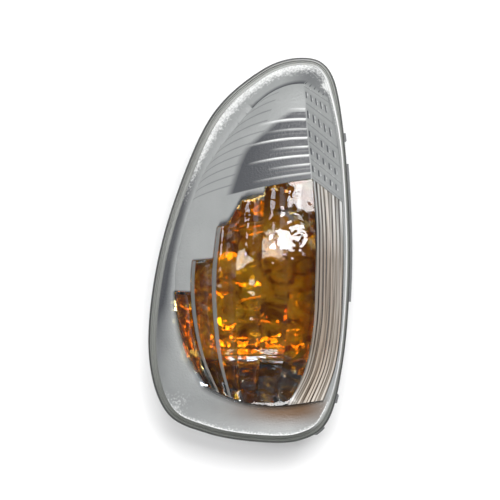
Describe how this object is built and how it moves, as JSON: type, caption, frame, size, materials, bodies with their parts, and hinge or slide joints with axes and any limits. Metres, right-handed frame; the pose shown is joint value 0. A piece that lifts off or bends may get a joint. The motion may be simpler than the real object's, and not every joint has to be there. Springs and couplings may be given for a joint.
{
  "type": "side repeater lamp",
  "caption": "Teardrop side repeater lamp for a door mirror: clear fluted lens, satin border, amber filter in a bright bowl, capless bulb in a twist holder, bosses behind.",
  "frame": {"origin": "centre of the lamp's plan outline, in the plane of the three screw bosses' faces", "axes": "+Z out through the lens, +Y towards the narrow tip, +X towards the steep side of the lens"},
  "size_m": [0.0692, 0.1302, 0.0494],
  "materials": {
    "clear_lens": "clear moulded window with a satin grained border and a glossy flange",
    "grey_plastic": "fine grained mid grey moulding",
    "metallised": "vacuum metallised bright",
    "amber_lens": "glossy transparent amber",
    "bulb_glass": "clear glass",
    "plated_wire": "nickel plated wire",
    "tungsten": "dull drawn wire",
    "black_plastic": "satin black moulding",
    "black_rubber": "matt rubber",
    "contact_brass": "tinned stamped brass",
    "zinc_steel": "zinc plated",
    "membrane_white": "porous white film"
  },
  "bodies": {
    "root": {"lens": "clear_lens", "housing": "grey_plastic", "reflector": "metallised", "amber_filter": "amber_lens", "bulb_glass": "bulb_glass", "bulb_leads": "plated_wire", "bulb_filament": "tungsten", "bulb_holder": "black_plastic", "holder_seal": "black_rubber", "contact_left": "contact_brass", "contact_right": "contact_brass", "reflector_screws": "zinc_steel", "breather_cap": "black_rubber", "breather_membrane": "membrane_white"}
  },
  "joints": []
}
